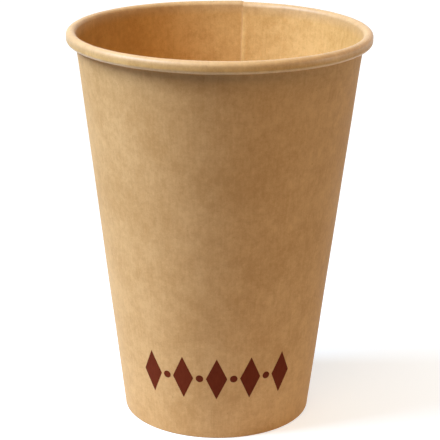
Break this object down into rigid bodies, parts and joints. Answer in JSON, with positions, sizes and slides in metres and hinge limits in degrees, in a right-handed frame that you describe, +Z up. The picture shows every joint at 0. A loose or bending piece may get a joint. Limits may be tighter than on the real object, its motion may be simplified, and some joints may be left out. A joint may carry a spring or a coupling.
{
  "type": "paper cup",
  "caption": "Tapered single-wall paper cup for hot drinks, with a lapped side seam, a rolled rim, a recessed base held in a turned-in foot and a printed row near the foot.",
  "frame": {"origin": "centre of the foot, on the surface that the cup stands on", "axes": "+Z up along the cup's axis to the rim; -Y towards the printed row; the side seam is at the back, 20 to 10 degrees round from +Y towards +X"},
  "size_m": [0.08, 0.08, 0.1055],
  "materials": {
    "kraft_board": "uncoated kraft outside, thin clear coating inside",
    "base_board": "thin clear coating on the inside",
    "print_ink": "matte ink, soaked into the board"
  },
  "bodies": {
    "root": {"side_wall": "kraft_board", "base": "base_board", "printed_row": "print_ink"}
  },
  "joints": []
}
